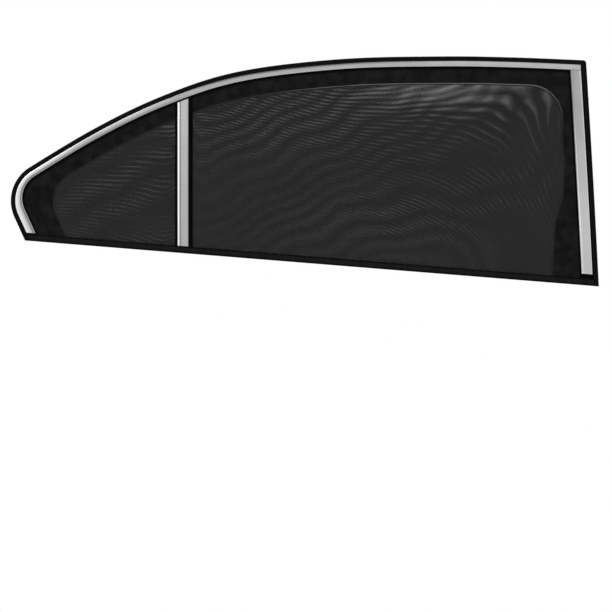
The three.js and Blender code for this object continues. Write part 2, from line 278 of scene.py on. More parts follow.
def outline(rim, rear, roof, front, nose, corner=LEAST_RADIUS, lean=FRONT_LEAN):
    """An outline with each side moved inward by its own inset, from the rim up the rear, round
    the nose, along the roof and down the front to the rim."""
    rim_line, rear_line = moved(RIM_SIDE, rim), moved(REAR_SIDE, rear)
    front_line = rising_side(crossing(RIM_SIDE, moved(FRONT_SIDE, front))[0], lean, -1)
    top = clipped(clipped(ROOF + roof * ROOF_INWARD, rear_line), front_line)
    rear_run = np.array([crossing(rim_line, rear_line), top[0]])
    front_run = np.array([top[-1], crossing(rim_line, front_line)])
    rear_run, nose_bend, top = rounded(rear_run, top, nose, NOSE_POINTS)
    top, corner_bend, front_run = rounded(top, front_run, corner, CORNER_POINTS)
    return np.vstack(
        [
            respaced(rear_run, REAR_POINTS),
            nose_bend,
            respaced(top, ROOF_POINTS),
            corner_bend,
            respaced(front_run, FRONT_POINTS),
        ]
    )


def inset_outline(inset, rim=0):
    """The shade's own outline moved inward by the same inset all round."""
    corner = max(FRONT_RADIUS - inset, LEAST_RADIUS)
    return outline(rim, inset, inset, inset, NOSE_RADIUS - inset, corner)


def window_outline(grow=0, rim=CLOTH_FOOT):
    """The outline of both clear windows together, grown by a lap."""
    return outline(
        rim,
        WINDOW["rear"] - grow,
        WINDOW["roof"] - grow,
        WINDOW["front"] - grow,
        WINDOW["nose"] + grow,
        WINDOW["corner"] + grow,
        WINDOW_LEAN,
    )


def step(value, at, reach):
    """A smooth rise from 0 to 1."""
    return (1 + np.tanh((value - at) / reach)) / 2


def bowed(run):
    """A window outline with its front side slack, as cloth is: drawn in at its foot and head."""
    height = distance(RIM_SIDE, run)
    changes = sum(change * step(height, at, reach) for change, at, reach in BOW_CHANGES)
    bow = changes - BOW_AT_FOOT
    near_front = np.clip((run[:, 0] - BOW_FROM_X) / BOW_SETS_IN, 0, 1)
    return run + np.stack([bow * near_front, 0 * bow], axis=1)


def windows(grow=0):
    """The edges of the two clear windows, each a run from rim to rim."""
    runs = []
    whole = bowed(window_outline(grow))
    sides = (
        (DIVIDER_REAR - DIVIDER_REAR_MARGIN + grow, -1),
        (DIVIDER_FRONT + DIVIDER_FRONT_MARGIN - grow, 1),
    )
    for x, way in sides:
        line = (np.array([x, 0.0]), np.array([0.0, 1.0]), np.array([way, 0.0]))
        foot = crossing(moved(RIM_SIDE, CLOTH_FOOT), line)
        part = clipped(whole, line)
        head = part[-1] if way < 0 else part[0]
        upright = np.linspace(foot, head, WINDOW_SIDE_POINTS, endpoint=False)
        runs.append(np.vstack([part, upright[::-1]] if way < 0 else [upright, part]))
    return runs


# The barrel's axis along Y, for which the middle of the outer hem's foot is at zero
AXIS_Y = math.sqrt((BARREL_RADIUS - (HEM_OUTER + HEM_INNER) / 2) ** 2 - BARREL_MIDDLE_Z**2)


def placed(flat, depth):
    """Points of the outline's plane at a depth of the barrel."""
    z = flat[..., 1]
    y = AXIS_Y - np.sqrt((BARREL_RADIUS - depth) ** 2 - (z - BARREL_MIDDLE_Z) ** 2)
    return np.stack([flat[..., 0], y, z], axis=-1)


def piece(name, points, faces, look, along=None, nodes=()):
    """A mesh that rides on the frame. along is how far each point is along its seam and across
    it, and the share across goes with it."""
    mesh = bpy.data.meshes.new(name)
    mesh.from_pydata((np.asarray(points) * MM).tolist(), [], faces)
    mesh.polygons.foreach_set("use_smooth", [True] * len(mesh.polygons))
    mesh.set_sharp_from_angle(angle=math.radians(40))
    if along is not None:
        attribute = mesh.attributes.new("along", "FLOAT_VECTOR", "POINT")
        attribute.data.foreach_set("vector", (along * MM).ravel())
        share = mesh.attributes.new("share", "FLOAT", "POINT")
        share.data.foreach_set("value", along[:, 1] / along[:, 1].max())
    mesh.materials.append(look)
    obj = bpy.data.objects.new(name, mesh)
    bpy.context.scene.collection.objects.link(obj)
    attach(obj, "root")
    if nodes:
        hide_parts(*nodes)
    return obj


def facing_out(obj):
    """Turns the faces of a closed piece outward."""
    turned = bmesh.new()
    turned.from_mesh(obj.data)
    bmesh.ops.recalc_face_normals(turned, faces=turned.faces)
    turned.to_mesh(obj.data)
    turned.free()
    return obj


def quads(rows, columns, wrapped=False):
    """Faces between neighbouring rows and columns of a grid of points."""
    faces = []
    for j in range(rows if wrapped else rows - 1):
        here, there = j * columns, (j + 1) % rows * columns
        for k in range(columns - 1):
            faces.append((here + k, there + k, there + k + 1, here + k + 1))
    return faces


def run_lengths(grid):
    """How far each point of a grid is along its row and across the rows."""
    along = np.linalg.norm(np.diff(grid, axis=1), axis=2).mean(axis=0)
    across = np.linalg.norm(np.diff(grid, axis=0), axis=2).mean(axis=1)
    x, y = np.meshgrid(np.r_[0, along.cumsum()], np.r_[0, across.cumsum()])
    return np.stack([x, y, np.zeros_like(x)], axis=-1).reshape(-1, 3)


def swept(name, grid, look, nodes=()):
    """A closed section carried along: one row of the grid for each point of the section."""
    rows, columns, _ = grid.shape
    faces = quads(rows, columns, wrapped=True)
    faces.append([j * columns for j in range(rows)][::-1])
    faces.append([j * columns + columns - 1 for j in range(rows)])
    obj = piece(name, grid.reshape(-1, 3), faces, look, run_lengths(grid), nodes)
    return facing_out(obj)


def slab(name, front, back, look, nodes=()):
    """A solid between two grids of the same size."""
    front, back = np.array(front), np.array(back)
    rows, columns, _ = front.shape
    count = rows * columns
    faces = quads(rows, columns)
    faces += [tuple(i + count for i in face[::-1]) for face in faces]
    rim = list(range(columns))
    rim += [j * columns + columns - 1 for j in range(1, rows)]
    rim += [(rows - 1) * columns + k for k in range(columns - 2, -1, -1)]
    rim += [j * columns for j in range(rows - 2, 0, -1)]
    for a, b in zip(rim, rim[1:] + rim[:1]):
        faces.append((a, b, b + count, a + count))
    points = np.concatenate([front.reshape(-1, 3), back.reshape(-1, 3)])
    along = np.tile(run_lengths(front), (2, 1))
    return facing_out(piece(name, points, faces, look, along, nodes))


def inside(points, loop):
    """Which points are inside a closed loop."""
    x, y = points[:, 0], points[:, 1]
    hits = np.zeros(len(points), bool)
    for (ax, ay), (bx, by) in zip(loop, np.roll(loop, -1, axis=0)):
        if ay != by:
            hits ^= ((ay > y) != (by > y)) & (x < (bx - ax) * (y - ay) / (by - ay) + ax)
    return hits


def filled(loop, gap):
    """A closed loop with points added to its long straight sides."""
    out = []
    for a, b in zip(loop, np.roll(loop, -1, axis=0)):
        steps = max(1, int(np.linalg.norm(b - a) / gap))
        out += [a + (b - a) * i / steps for i in range(steps)]
    return np.array(out)


def loop_area(loop):
    """The area inside a closed loop."""
    x, y = loop.T
    return abs(x @ np.roll(y, -1) - y @ np.roll(x, -1)) / 2


class Look:
    """A node material, with short ways to add nodes."""

    def __init__(self, name):
        self.material = bpy.data.materials.new(name)
        self.material.use_nodes = True
        self.tree = self.material.node_tree
        self.shader = self.tree.nodes["Principled BSDF"]

    def fill(self, socket, value):
        """Links a socket to another, or gives it a constant."""
        if isinstance(value, bpy.types.NodeSocket):
            self.tree.links.new(value, socket)
        else:
            socket.default_value = value

    def node(self, kind, values, **settings):
        """A new node with its settings, and values for its inputs."""
        node = self.tree.nodes.new(kind)
        for key, value in settings.items():
            setattr(node, key, value)
        for key, value in values.items():
            self.fill(node.inputs[key], value)
        return node

    def math(self, operation, a, b):
        return self.node("ShaderNodeMath", {0: a, 1: b}, operation=operation).outputs[0]

    def place(self, seam, scale=(1, 1, 1), turn=0.0):
        """Coordinates in metres, along the piece's seam or in the frame."""
        if seam:
            source = self.node("ShaderNodeAttribute", {}, attribute_name="along")
            values = {"Vector": source.outputs["Vector"], "Rotation": (0, 0, turn)}
        else:
            source = self.node("ShaderNodeTexCoord", {})
            values = {"Vector": source.outputs["Object"], "Rotation": (0, turn, 0)}
        return self.node("ShaderNodeMapping", {**values, "Scale": scale}).outputs["Vector"]

    def noise(self, vector, scale, detail):
        values = {"Vector": vector, "Scale": scale, "Detail": detail}
        return self.node("ShaderNodeTexNoise", values).outputs["Fac"]

    def wave(self, vector, pitch, direction, distortion):
        """Waves of a pitch in metres, from 0 to 1."""
        values = {"Vector": vector, "Scale": math.pi / 10 / pitch, "Distortion": distortion}
        node = self.node("ShaderNodeTexWave", values, bands_direction=direction)
        return node.outputs["Fac"]

    def twist(self, vector):
        """The fine twist of spun thread, as a bump."""
        self.bump(self.wave(vector, 0.0007, "DIAGONAL", 2.0), 0.00005, 0.6)

    def share(self):
        """How far across the piece, from 0 to 1."""
        return self.node("ShaderNodeAttribute", {}, attribute_name="share").outputs["Fac"]

    def part(self, vector, axis):
        """One axis of a vector."""
        return self.node("ShaderNodeSeparateXYZ", {"Vector": vector}).outputs[axis]

    def levels(self, factor, stops):
        """A grey that runs through stops, each a place from 0 to 1 and a brightness."""
        node = self.node("ShaderNodeValToRGB", {"Fac": factor})
        elements = node.color_ramp.elements
        for at, _ in stops[1:-1]:
            elements.new(at)
        for element, (at, level) in zip(elements, stops):
            element.position = at
            element.color = (level, level, level, 1)
        return node.outputs["Color"]

    def mixed(self, factor, a, b, blend="MIX"):
        """Two colours mixed or blended, each a link or a constant."""
        node = self.node("ShaderNodeMix", {"Factor": factor}, data_type="RGBA", blend_type=blend)
        colours = [socket for socket in node.inputs if socket.type == "RGBA"]
        self.fill(colours[0], a)
        self.fill(colours[1], b)
        return next(socket for socket in node.outputs if socket.type == "RGBA")

    def between(self, factor, low, high):
        """A colour from low to high."""
        return self.mixed(factor, (*low, 1), (*high, 1))

    def ranged(self, value, low, high, start=0.0, end=1.0):
        """A value between start and end, carried to between low and high."""
        values = {"Value": value, "From Min": start, "From Max": end}
        values.update({"To Min": low, "To Max": high})
        return self.node("ShaderNodeMapRange", values).outputs["Result"]

    def set(self, **values):
        """Fills the shader's own sockets, each named with _ for a space."""
        for key, value in values.items():
            self.fill(self.shader.inputs[key.replace("_", " ")], value)

    def bump(self, height, depth, strength):
        """Raises the surface by a height, up to a depth in metres."""
        values = {"Height": height, "Distance": depth, "Strength": strength}
        normal = self.node("ShaderNodeBump", values).outputs["Normal"]
        self.tree.links.new(normal, self.shader.inputs["Normal"])


def cloth(name, dark, light, pitch, rough, specular, seam=False, turn=0.0, stops=()):
    """Close cloth: two crossing waves of thread, with fibres and patches of wear over them. stops
    give its brightness across the piece, which paints shade where it is darker."""
    look = Look(name)
    vector = look.place(seam, turn=turn)
    warp = look.wave(vector, pitch, "X", 0.6)
    weft = look.wave(vector, pitch, "Y" if seam else "Z", 0.6)
    threads = look.math("MAXIMUM", warp, weft)
    fibres = look.noise(vector, 2600, 4)
    wear = look.noise(look.place(False), 55, 2)
    patches = look.ranged(wear, 0.0, 1.0, 0.38, 0.68)
    height = look.math("ADD", threads, look.math("MULTIPLY", fibres, 0.5))
    shade = look.math("MULTIPLY", look.math("ADD", threads, patches), 0.5)
    colour = look.between(shade, dark, light)
    # Painted shade across the piece, from the stops
    if stops:
        colour = look.mixed(1.0, colour, look.levels(look.share(), stops), "MULTIPLY")
    look.set(Base_Color=colour)
    look.set(Roughness=look.ranged(wear, rough - 0.08, rough + 0.08))
    look.set(Specular_IOR_Level=specular)
    look.bump(height, 0.00012, 1.0)
    return look.material


def thread(name, dark, light, rough, specular):
    """Spun thread: a twist along it, with fibres and patches of wear."""
    look = Look(name)
    vector = look.place(False)
    fibres = look.noise(vector, 900, 3)
    patches = look.noise(vector, 9, 2)
    shade = look.math("MULTIPLY", look.math("ADD", fibres, patches), 0.5)
    look.set(Base_Color=look.between(shade, dark, light))
    look.set(Roughness=look.ranged(fibres, rough - 0.1, rough + 0.1))
    look.set(Specular_IOR_Level=specular)
    look.twist(vector)
    return look.material


def sheer():
    """The ground of the nets: filaments too fine to be made one by one, which let light through."""
    look = Look("sheer_ground")
    vector = look.place(False)
    filaments = look.math(
        "MAXIMUM", look.wave(vector, 0.0004, "X", 0.4), look.wave(vector, 0.0004, "Z", 0.4)
    )
    patches = look.noise(vector, 11, 2)
    shade = look.math("MULTIPLY", look.math("ADD", filaments, patches), 0.5)
    look.set(Base_Color=look.between(shade, (0.012,) * 3, (0.03,) * 3))
    look.set(Roughness=look.ranged(patches, 0.55, 0.75))
    look.set(Specular_IOR_Level=0.1, Alpha=0.4)
    look.bump(filaments, 0.00003, 0.5)
    return look.material


def silver(name, stops, rib, rib_depth, teeth, changes=()):
    """Satin metallised trim with fine ribs across it and faint handling marks. stops paint its
    highlights, reflections and shade across it at its start, and each change says between which
    lengths it takes others, so the painted light changes along the strip. The ribs shift those by
    teeth, which gives the strip toothed edges."""
    look = Look(name)
    vector = look.place(True)
    ribs = look.wave(vector, rib, "X", 0.25)
    grain = look.noise(look.place(True, scale=(1, 14, 1)), 420, 4)
    marks = look.noise(vector, 26, 5)
    height = look.math("ADD", ribs, look.math("MULTIPLY", grain, 0.35))
    uneven = look.math("ADD", marks, look.ranged(grain, -0.4, 0.4))
    shade = look.math("MULTIPLY", look.math("ADD", ribs, uneven), 0.5)
    # Painted highlights, reflections and shade across the strip, changing along it
    colour = look.levels(look.share(), stops)
    share = look.math("ADD", look.share(), look.ranged(ribs, -teeth, teeth))
    for start, end, later in changes:
        past = look.ranged(look.part(vector, "X"), 0.0, 1.0, start, end)
        colour = look.mixed(past, colour, look.levels(share, later))
    tone = look.between(shade, (0.32, 0.32, 0.328), (0.46, 0.46, 0.47))
    look.set(Base_Color=look.mixed(1.0, tone, colour, "MULTIPLY"))
    look.set(Metallic=0.85, Roughness=look.ranged(marks, 0.3, 0.46))
    look.bump(height, rib_depth, 0.8)
    return look.material


def seam_thread():
    """The thread that edges the windows, with a painted highlight that makes it palest along the
    front half of the roof.
    """
    look = Look("window_seam_thread")
    vector = look.place(False)
    patches = look.noise(vector, 30, 3)
    # Painted highlight: pale towards the front and the top, dark elsewhere
    highlight_forward = look.ranged(look.part(vector, "X"), 0.08, 1.0, -0.08, 0.1)
    highlight_upward = look.ranged(look.part(vector, "Z"), 0.02, 1.0, 0.25, 0.315)
    shade = look.math("MULTIPLY", look.math("MULTIPLY", highlight_forward, highlight_upward), patches)
    look.set(Base_Color=look.between(shade, (0.02,) * 3, (0.42,) * 3))
    look.set(Roughness=look.ranged(patches, 0.5, 0.7))
    look.set(Specular_IOR_Level=0.2)
    look.twist(vector)
    return look.material


# Painted highlights, reflections and shade across the silver strips, from the outer or rear side:
# pairs of a share and a level. The bright bands are painted highlights and reflections, and the
# dark ones painted shade at the edges, in the roof strip's step and in the divider's groove
NOSE_LIGHT_AND_SHADE = [(0, 1.6), (0.1, 1.95), (0.25, 1.7), (0.5, 1.4), (0.64, 0.9), (0.7, 0.4), (0.78, 0.4)]
NOSE_LIGHT_AND_SHADE += [(0.84, 0.75), (0.94, 0.8), (1, 0.4)]
SLOPE_ROOF_LIGHT_AND_SHADE = [(0, 0.6), (0.12, 1.05), (0.3, 1), (0.6, 0.92), (0.75, 0.75), (0.9, 0.65), (1, 0.4)]
HIGH_ROOF_LIGHT_AND_SHADE = [(0, 0.1), (0.15, 0.3), (0.3, 0.65), (0.45, 0.85), (0.75, 1), (0.92, 1.1), (1, 0.8)]
FLAT_ROOF_LIGHT_AND_SHADE = [(0, 0.4), (0.1, 0.9), (0.3, 0.95), (0.75, 1), (0.92, 1.12), (1, 0.85)]
DIVIDER_LIGHT_AND_SHADE = [(0, 0.2), (0.05, 0.7), (0.08, 1.6), (0.13, 2.1), (0.2, 2.2), (0.225, 1.5), (0.245, 0.3)]
DIVIDER_LIGHT_AND_SHADE += [(0.31, 0.35), (0.35, 0.75), (0.39, 1), (0.86, 1), (0.93, 0.7), (0.98, 0.3), (1, 0.1)]
FRONT_FOOT_LIGHT_AND_SHADE = [(0, 0.8), (0.06, 1.5), (0.1, 1.4), (0.13, 1.15), (0.88, 1.15), (0.94, 1.4), (1, 0.8)]
FRONT_HEAD_LIGHT_AND_SHADE = [(0, 0.7), (0.06, 1.15), (0.1, 1), (0.13, 0.8), (0.7, 0.75), (0.85, 0.5), (1, 0.1)]

# The same across the hems, down the near face and up the far one, and in from the border's edge.
# On the hems the dark bands at the upper edge and the fold are painted shade, and the darker band
# between them is partly the hem's own tone and partly painted shade. On the border the dark band
# within about 26 mm of its edge is painted shade, beside the raised strips and above the hem
HEM_TONE_AND_SHADE = [(0, 0.1), (0.035, 0.1), (0.05, 1), (0.15, 1), (0.175, 0.25), (0.33, 0.25), (0.355, 1)]
HEM_TONE_AND_SHADE += [(0.46, 1), (0.475, 0.1), (1, 0.1)]
# Painted shade on the border within about 26 mm of its edge, beside the raised strips and the hem
PAINTED_SHADE_NEAR_EDGE = [(0, 0.1), (0.3, 0.1), (0.38, 1), (1, 1)]

NET_LOOK = thread("net_thread", (0.01,) * 3, (0.019,) * 3, 0.62, 0.12)
GROUND_LOOK = sheer()
STITCH_LOOK = thread("stitch_thread", (0.006,) * 3, (0.018,) * 3, 0.5, 0.1)
SEAM_LOOK = seam_thread()
BORDER_COLOURS = (0.0005,) * 3, (0.0112,) * 3
# The border's stops paint shade near its edge
BORDER_LOOK = cloth("border_knit", *BORDER_COLOURS, 0.0009, 0.82, 0.04, stops=PAINTED_SHADE_NEAR_EDGE)
BINDING_LOOK = cloth("binding", (0.001,) * 3, (0.0035,) * 3, 0.0007, 0.6, 0.03, True, 0.6)
HEM_COLOURS = (0.0035, 0.0042, 0.0046), (0.0075, 0.0088, 0.0096)
# The hem's stops paint shade at its upper edge and fold, and partly in the band between
HEM_LOOK = cloth("hem_cloth", *HEM_COLOURS, 0.0008, 0.65, 0.04, True, stops=HEM_TONE_AND_SHADE)
ELASTIC_LOOK = cloth("elastic", (0.008,) * 3, (0.025,) * 3, 0.0012, 0.8, 0.1, True)
TAPE_LOOK = cloth("backing_tape", (0.0006,) * 3, (0.002,) * 3, 0.0006, 0.6, 0.015, True)
# The roof strip's painted light changes along it: a bright painted reflection round the nose,
# dimmer up the slope and along the roof
ROOF_CHANGES = [(0.11, 0.22, SLOPE_ROOF_LIGHT_AND_SHADE), (0.32, 0.48, HIGH_ROOF_LIGHT_AND_SHADE), (0.72, 0.9, FLAT_ROOF_LIGHT_AND_SHADE)]
ROOF_SILVER_LOOK = silver("roof_silver", NOSE_LIGHT_AND_SHADE, 0.0029, 0.00006, 0.07, ROOF_CHANGES)
DIVIDER_SILVER_LOOK = silver("divider_silver", DIVIDER_LIGHT_AND_SHADE, 0.0027, 0.00003, 0)
# The front strip's painted highlights dim towards its head, with painted shade along its rear side
FRONT_CHANGES = [(0.1, 0.3, FRONT_HEAD_LIGHT_AND_SHADE)]
FRONT_SILVER_LOOK = silver("front_silver", FRONT_FOOT_LIGHT_AND_SHADE, 0.0012, 0.00002, 0.01, FRONT_CHANGES)


def arc(inset, depth, radius, start, end, steps):
    """Points of inset and depth on part of a circle."""
    turns = np.radians(np.linspace(start, end, steps + 1))
    return [(inset - radius * math.cos(t), depth - radius * math.sin(t)) for t in turns]


def edging():
    """Binding folded round the edge, with a rolled lip where it laps each face."""
    reach = EDGING_THICKNESS + SEAM
    outer, inner = EDGING_RADIUS - reach, SLEEVE_DEPTH + reach - EDGING_RADIUS
    core = EDGING_RADIUS - EDGING_THICKNESS
    lip = EDGING_THICKNESS / 2
    section = [
        *arc(EDGING_WIDTH - lip, -SEAM - lip, lip, 90, 270, 6),
        *arc(EDGING_RADIUS, outer, core, 90, 0, 7),
        *arc(EDGING_RADIUS, inner, core, 0, -90, 7),
        *arc(EDGING_WIDTH - lip, SLEEVE_DEPTH + SEAM + lip, lip, 90, 270, 6),
        *arc(EDGING_RADIUS, inner, EDGING_RADIUS, -90, 0, 9),
        *arc(EDGING_RADIUS, outer, EDGING_RADIUS, 0, 90, 9),
    ]
    grid = np.array([placed(inset_outline(inset), depth) for inset, depth in section])
    return swept("edge_binding", grid, BINDING_LOOK, ["edging"])


def rim_row(height, inset, count):
    """Points at a height above the rim, from one end of it to the other."""
    row = moved(RIM_SIDE, height)
    ends = [crossing(row, moved(side, inset)) for side in (REAR_SIDE, FRONT_SIDE)]
    return np.linspace(*ends, count)


def gathers(row):
    """How the elastic gathers a hem, as a small change of depth along it."""
    x = row[:, 0]
    return GATHER_DEPTH * np.sin(x / 2.1 + 1.3 * np.sin(x / 37)) * (1 + 0.4 * np.sin(x / 11))


def hem(name, node, near, far):
    """A hem folded up round the rim, gathered by its elastic, with shallow sewn channels. Each row
    of its section has a height, a depth and how much it sways with the gathers."""
    heights = np.linspace(HEM_HEIGHT, HEM_FOLD, 22)
    channels = CHANNEL_DEPTH * np.cos(2 * math.pi * (heights - CHANNEL_FOOT) / CHANNEL_PITCH)
    section = [(h, near + c, 1) for h, c in zip(heights, channels)]
    section += [(0.4, near + 0.35, 1), (0, near + 1.1, 0), (0, far - 1.1, 0), (0.4, far - 0.35, -1)]
    section += [(h, far - c, -1) for h, c in zip(heights[::-1], channels[::-1])]
    front, back = near + HEM_THICKNESS, far - HEM_THICKNESS
    section += [(HEM_HEIGHT, back, -1), (HEM_THICKNESS, back, 0)]
    section += [(HEM_THICKNESS, front, 0), (HEM_HEIGHT, front, 1)]
    grid = []
    for height, depth, sway in section:
        row = rim_row(height, STRIP_FROM, HEM_POINTS)
        grid.append(placed(row, depth + sway * gathers(row)))
    return swept(name, np.array(grid), HEM_LOOK, [node])


def elastic(name, node, depth):
    """Flat ribbed elastic inside a hem."""
    front, back = [], []
    for share in np.linspace(0, 1, 17):
        row = rim_row(CLOTH_FOOT + ELASTIC_HEIGHT * share, STRIP_FROM + 0.2, ELASTIC_POINTS)
        rib = ELASTIC_RIB_DEPTH * (1 - math.cos(2 * math.pi * ELASTIC_RIBS * share))
        front.append(placed(row, depth + rib))
        back.append(placed(row, depth + ELASTIC_THICKNESS - rib))
    return slab(name, front, back, ELASTIC_LOOK, [node])


def meshed(loop, spacing):
    """Flat points and triangles that fill a closed loop."""
    low, high = loop.min(axis=0), loop.max(axis=0)
    x, z = np.meshgrid(*[np.arange(a, b, spacing) for a, b in zip(low, high)])
    x[1::2] += spacing / 2
    filler = np.stack([x.ravel(), z.ravel()], axis=1)
    filler = filler[inside(filler, loop)]
    gap = np.linalg.norm(filler[:, None] - loop[None], axis=2).min(axis=1)
    flat = np.vstack([loop, filler[gap > spacing / 3]])
    edges = [(i, (i + 1) % len(loop)) for i in range(len(loop))]
    cut = geometry.delaunay_2d_cdt([Vector(p) for p in flat], edges, [], 0, 1e-5)
    flat = np.array([v[:] for v in cut[0]])
    triangles = np.array([face[:] for face in cut[2]])
    return flat, triangles[inside(flat[triangles].mean(axis=1), loop)].tolist()


# How far in from the edge the share across a border reaches 1; the painted shade near the border's
# edge is laid along this share
BORDER_FADE = 70


def border(name, node, depth):
    """Close cloth with the two windows left open down to the rim."""
    quarter, main = windows()
    loop = np.vstack([inset_outline(EDGING_RADIUS, CLOTH_FOOT), main[::-1], quarter[::-1]])
    flat, triangles = meshed(filled(loop, 5), 9)
    count = len(flat)
    faces = triangles + [[i + count for i in t[::-1]] for t in triangles]
    sides = {edge for a, b, c in triangles for edge in ((a, b), (b, c), (c, a))}
    faces += [(b, a, a + count, b + count) for a, b in sorted(sides) if (b, a) not in sides]
    points = np.vstack([placed(flat, depth), placed(flat, depth + CLOTH)])
    # How far in from the edge each point lies, for the painted shade near the border's edge
    edge = inset_outline(0)
    inset = np.linalg.norm(flat[:, None] - edge[None], axis=2).min(axis=1)
    along = np.stack([flat[:, 0], np.minimum(inset, BORDER_FADE), 0 * inset], axis=1)
    along = np.tile(along, (2, 1))
    obj = facing_out(piece(name, points, faces, BORDER_LOOK, along, [node]))
    return obj, loop_area(loop) * MM * MM


# The threads of the nets, and how far past a net their lines start and end
PITCH = 1.1
THREAD_ARCH = 0.14
NET_MARGIN = 40

# For the upright and the level threads: their axis, the most points along one, how many samples
# find its path, and how far in from the net's face they lie
THREAD_SETS = [(0, 18, 110, 0.15), (1, 46, 280, 0.4)]

# The spacing of the ground's mesh, and how far in from the net's face it lies
NET_SPACING = 12
GROUND_DEPTH = NET - 0.03

# Places on the nets are given along X and down from the middle of the streaks
STREAKS_X, STREAKS_Z = 316, 299

# The share of a pitch that is open between two threads, and where more is: how much more, and the
# place and reach of each patch along X and down
UPRIGHT_GAP = 0.45
UPRIGHT_PATCHES = [(0.24, -70, 190, -10, 45)]
LEVEL_GAP = 0.17
LEVEL_PATCHES = [
    (0.46, -80, 180, -8, 38),
    (0.19, -370, 200, 50, 70),
    (0.13, -230, 180, 222, 55),
    (0.16, -590, 60, 60, 30),
    (0.07, -680, 110, 150, 80),
    (-0.07, 175, 110, 110, 110),
]

# The inner net is spread a little from the middle of the view, because it is further off
INNER_SPREAD = 1.0045
SPREAD_FROM = np.array([-9.5, -74.3])


def behind_divider(u):
    """1 in the small window behind the divider, and 0 ahead of it."""
    return 1 - step(u, -536, 21.2)


def upright_parting(u, v):
    """How far the upright threads of the two nets are out of step, in pitches."""
    along = 0.0192 * u
    down = 0.0367 * v * (1 - 0.95 * step(u, -40, 140))
    waves = 0.3 * np.sin(u / 55 + v / 30) + 0.2 * np.sin(u / 23 - v / 34)
    return (along + down + waves) * (1 - 0.6 * behind_divider(u))


def level_parting(u, v):
    """How far the level threads of the two nets are out of step, in pitches."""
    rear = behind_divider(u)
    along = -0.0113 * u - 2.79 * np.sin(2 * math.pi * (u + 425) / 620)
    down = (0.0395 - 0.15 * np.tanh(u / 319) - 0.075 * rear) * v + 0.000128 * v**2
    fan = 0.00028 * rear * (u + 750) * np.clip(v - 110, 0, None)
    uneven = 0.2 * np.sin(u / 19 + 2.1 * np.sin(v / 47)) * np.sin(v / 15 + 1.7 * np.sin(u / 53))
    return along + down - fan + uneven


def gap_between(axis, u, v):
    """The share of a pitch that is open between two upright or two level threads."""
    gap, patches = ((UPRIGHT_GAP, UPRIGHT_PATCHES), (LEVEL_GAP, LEVEL_PATCHES))[axis]
    for more, at_u, reach_u, at_v, reach_v in patches:
        gap = gap + more * np.exp(-(((u - at_u) / reach_u) ** 2) - ((v - at_v) / reach_v) ** 2)
    return gap


def thread_paths(axis, lines, path, across, side):
    """Moves lines of points across the threads of an axis until each has its share, side, of the
    parting from the other net."""
    parting = (upright_parting, level_parting)[axis]
    for _ in range(8):
        u, v = path[..., 0] - STREAKS_X, STREAKS_Z - path[..., 1]
        width = 1 - gap_between(axis, u, v)
        path[..., axis] = lines[:, None] + PITCH * (across * width - side * parting(u, v) / 2)
    return path


def net_region():
    """The net's own outline: both windows with a lap, inside the edging."""
    return filled(window_outline(NET_LAP), NET_SPACING)


def net(name, node, face, side):
    """A net of two crossing sets of threads, each an arched ribbon, and the sheer ground behind
    them. side is 1 for the outer net and -1 for the inner one, which is spread a little more."""
    region = net_region()
    low, high = region.min(axis=0) - NET_MARGIN, region.max(axis=0) + NET_MARGIN
    points, faces, total = [], [], 0
    for axis, most, samples, layer in THREAD_SETS:
        lines = np.arange(low[axis], high[axis], PITCH)
        start = np.zeros((len(lines), samples, 2))
        start[..., axis] = lines[:, None]
        start[..., 1 - axis] = np.linspace(low[1 - axis], high[1 - axis], samples)
        edges = []
        for across in (-0.5, 0, 0.5):
            path = thread_paths(axis, lines, start.copy(), across, side)
            if side < 0:
                path = SPREAD_FROM + INNER_SPREAD * (path - SPREAD_FROM)
            edges.append(path)
        within = inside(edges[1].reshape(-1, 2), region).reshape(len(lines), samples)
        for i, kept in enumerate(within):
            held = np.flatnonzero(kept)
            if len(held) < 3:
                continue
            steps = min(most, len(held))
            held = held[np.linspace(0, len(held) - 1, steps).round().astype(int)]
            for edge, rise in zip(edges, (0, THREAD_ARCH, 0)):
                points.append(placed(edge[i, held], face + side * (layer - rise)))
            faces += [tuple(j + total for j in corners) for corners in quads(3, steps)]
            total += 3 * steps
    threads = piece(name + "_threads", np.vstack(points), faces, NET_LOOK, None, [node])
    flat, triangles = meshed(region, NET_SPACING)
    ground_points = placed(flat, face + side * GROUND_DEPTH)
    ground = piece(name + "_ground", ground_points, triangles, GROUND_LOOK, None, [node])
    return threads, ground, loop_area(region) * MM * MM


# The stitches, and how far their rows lie from a window's edge and from the binding's lip
STITCH = 2.5
STITCH_GAP = 0.7
STITCH_WIDTH = 0.5
STITCH_TAPER = 0.6
STITCH_RISE = 0.22
STITCH_LIFT = 0.03
SEAM_WIDTH = 0.9
BESIDE_WINDOW = 2.6
BESIDE_LIP = 1.3


def stitches(name, rows, stitch_width, look):
    """Rows of straight stitches, each row a run of points, its depth and the way out."""
    points, faces, total = [], [], 0
    for run, depth, out in rows:
        lengths = np.r_[0, np.cumsum(np.linalg.norm(np.diff(run, axis=0), axis=1))]
        for i in range(int(lengths[-1] / (STITCH + STITCH_GAP))):
            start = STITCH_GAP / 2 + i * (STITCH + STITCH_GAP)
            at = start + STITCH * np.array([0, 0.25, 0.75, 1])
            line = np.stack([np.interp(at, lengths, run[:, j]) for j in range(2)], axis=1)
            way = line[-1] - line[0]
            side = np.array([way[1], -way[0]]) / np.linalg.norm(way)
            for across, rise in ((-0.5, 0), (0, 1), (0.5, 0)):
                lift = out * (rise * STITCH_RISE * np.array([0.0, 1, 1, 0]) + STITCH_LIFT)
                taper = np.array([[STITCH_TAPER], [1], [1], [STITCH_TAPER]])
                width = across * stitch_width * taper
                points.append(placed(line + width * side, depth + lift))
            faces += [tuple(j + total for j in corners) for corners in quads(3, len(at))]
            total += 3 * len(at)
    return piece(name, np.vstack(points), faces, look)


